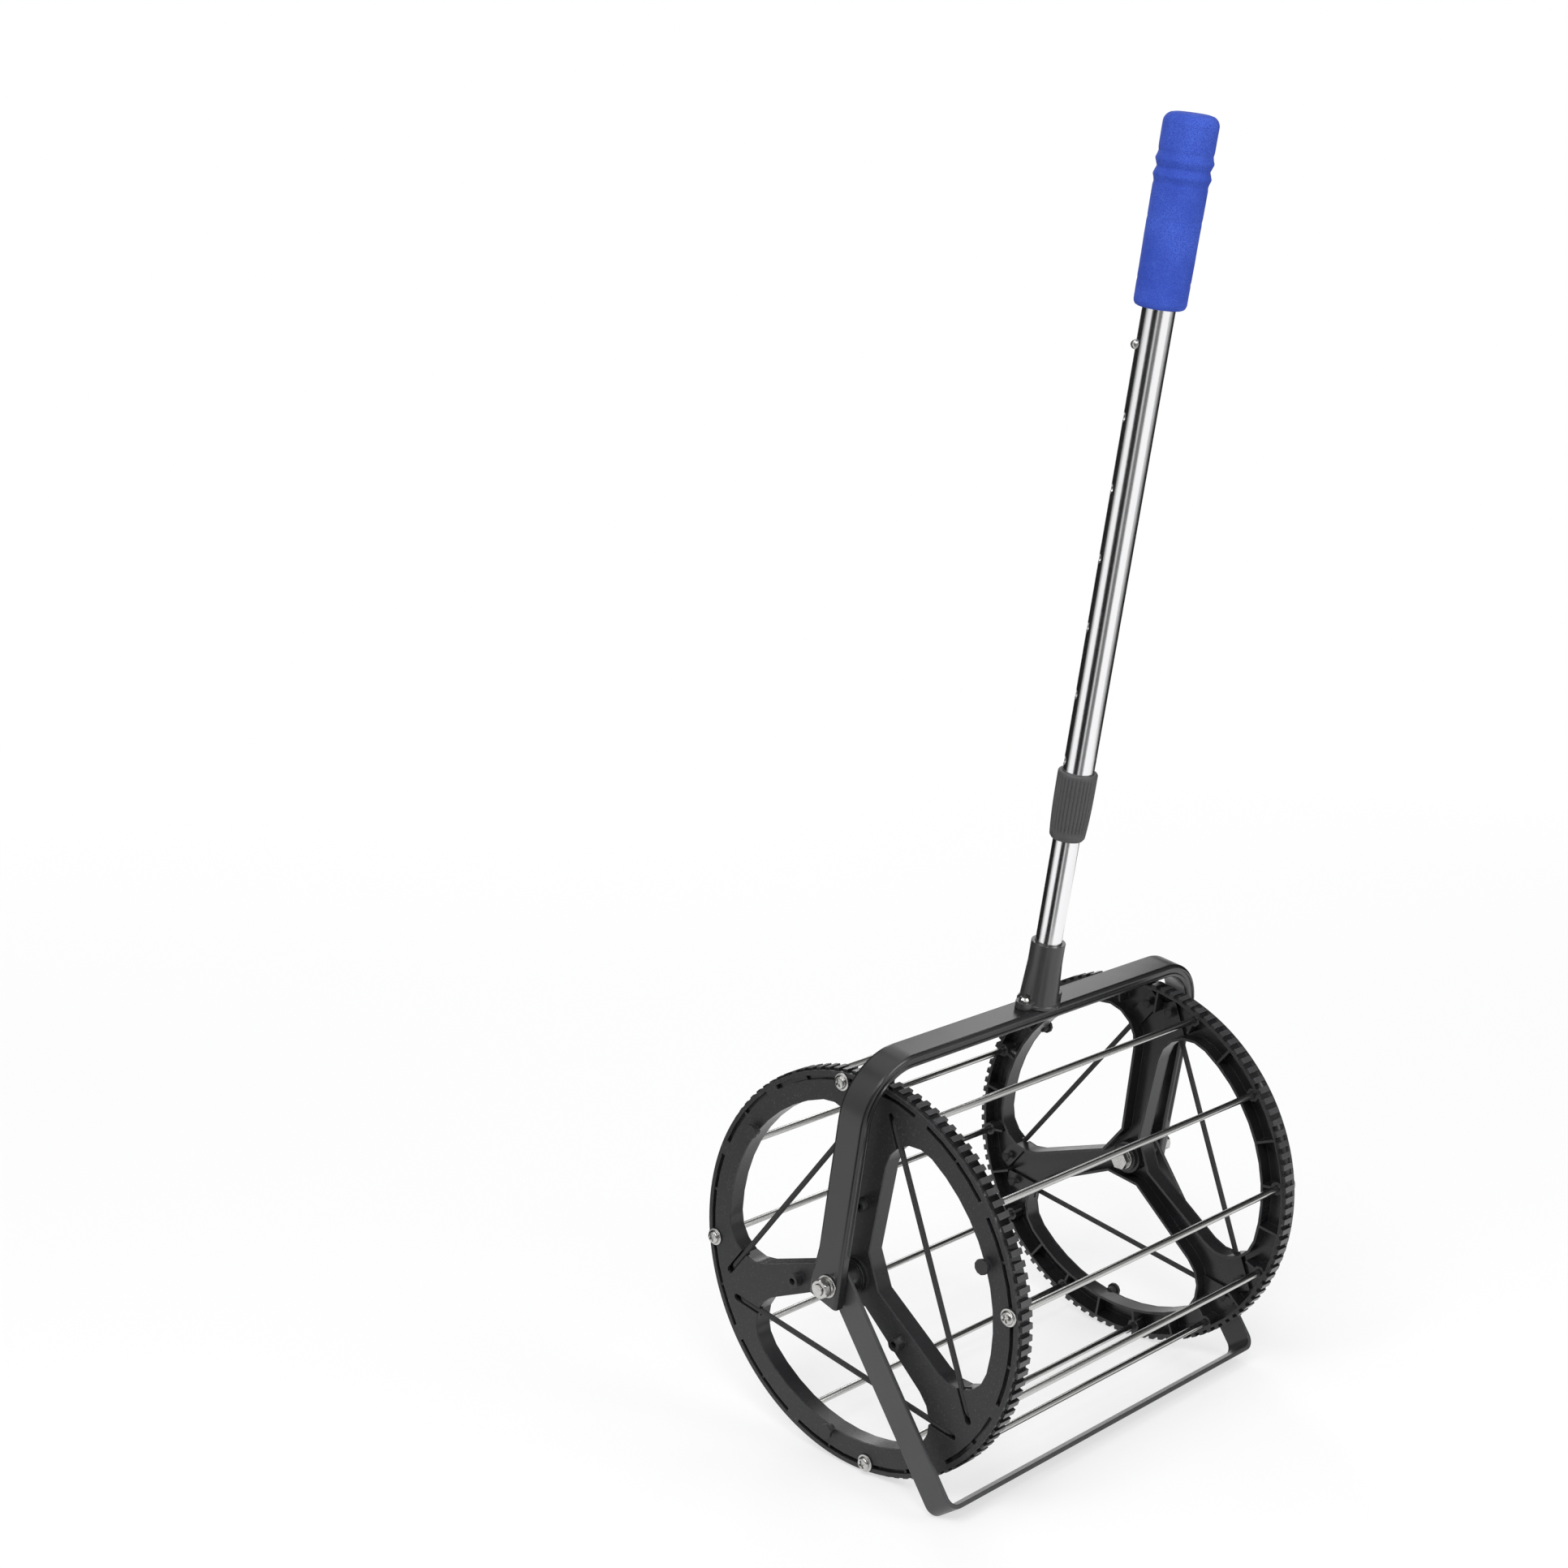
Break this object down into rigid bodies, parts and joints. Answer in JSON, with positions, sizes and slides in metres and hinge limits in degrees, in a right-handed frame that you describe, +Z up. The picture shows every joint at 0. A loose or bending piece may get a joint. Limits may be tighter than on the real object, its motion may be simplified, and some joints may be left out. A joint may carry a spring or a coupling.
{
  "type": "rolling tennis ball collector",
  "caption": "Rolling drum ball collector with black toothed wheels, steel rods, folding kickstand and telescopic handle with a blue foam grip.",
  "frame": {"origin": "on the ground in the middle of the part's box, below the drum", "axes": "+X along the axle towards the right wheel, +Y towards the back, away from the side that the handle and the kickstand lean to, +Z up"},
  "size_m": [0.3996, 0.2968, 0.9227],
  "materials": {
    "wheel_plastic": "fine-grained matt black moulded plastic",
    "frame_plastic": "satin black moulded plastic",
    "stand_metal": "dark grey satin paint on flat bar",
    "polished_steel": "polished stainless steel",
    "plated_steel": "bright nickel plating",
    "elastic": "black covered elastic cord",
    "foam": "soft blue closed-cell foam"
  },
  "bodies": {
    "frame": {"yoke": "frame_plastic", "handle_socket": "frame_plastic", "socket_screw_left": "plated_steel", "socket_screw_right": "plated_steel", "inner_tube": "polished_steel", "guide_plug": "frame_plastic", "button_spring": "plated_steel", "axle_bolt_left": "plated_steel", "inner_washer_left": "plated_steel", "outer_washer_left": "plated_steel", "spring_washer_left": "plated_steel", "axle_nut_left": "plated_steel", "hub_spacer_left": "frame_plastic", "axle_bolt_right": "plated_steel", "inner_washer_right": "plated_steel", "outer_washer_right": "plated_steel", "spring_washer_right": "plated_steel", "axle_nut_right": "plated_steel", "hub_spacer_right": "frame_plastic"},
    "drum": {"wheel_left": "wheel_plastic", "wheel_right": "wheel_plastic", "hub_bush_left": "frame_plastic", "hub_bush_right": "frame_plastic", "rod_01": "polished_steel", "rod_02": "polished_steel", "rod_03": "polished_steel", "rod_04": "polished_steel", "rod_05": "polished_steel", "rod_06": "polished_steel", "rod_07": "polished_steel", "rod_08": "polished_steel", "rod_09": "polished_steel", "rod_10": "polished_steel", "rod_11": "polished_steel", "rod_12": "polished_steel", "rod_screw_left_1": "plated_steel", "rod_screw_left_2": "plated_steel", "rod_screw_left_3": "plated_steel", "rod_screw_left_4": "plated_steel", "rod_screw_right_1": "plated_steel", "rod_screw_right_2": "plated_steel", "rod_screw_right_3": "plated_steel", "rod_screw_right_4": "plated_steel", "elastic_cord_left_1": "elastic", "elastic_cord_left_2": "elastic", "elastic_cord_left_3": "elastic", "elastic_cord_right_1": "elastic", "elastic_cord_right_2": "elastic", "elastic_cord_right_3": "elastic"},
    "kickstand": {"kickstand": "stand_metal"},
    "upper_pole": {"outer_tube": "polished_steel", "grip": "foam"},
    "collar": {"collar": "frame_plastic"},
    "snap_button": {"snap_button": "polished_steel"}
  },
  "joints": [
    {"name": "drum_roll", "type": "hinge", "parent": "frame", "child": "drum", "pos_m": [0, 0.00245, 0.146], "axis": [1, 0, 0], "continuous": true},
    {"name": "kickstand_fold", "type": "hinge", "parent": "frame", "child": "kickstand", "pos_m": [0, 0.00245, 0.146], "axis": [1, 0, 0], "range_deg": [0, 210]},
    {"name": "pole_slide", "type": "slide", "parent": "frame", "child": "upper_pole", "axis": [0, -0.1736, 0.9848], "range_m": [0, 0.288]},
    {"name": "collar_turn", "type": "hinge", "parent": "upper_pole", "child": "collar", "pos_m": [0, 0.00471, 0.1464], "axis": [0, -0.1736, 0.9848], "range_deg": [0, 90]},
    {"name": "button_press", "type": "slide", "parent": "frame", "child": "snap_button", "axis": [0.7071, -0.6964, -0.1228], "range_m": [0, 0.0046], "stiffness_N_per_m": 800, "springref_m": -0.002, "deforming": ["button_spring"]}
  ]
}
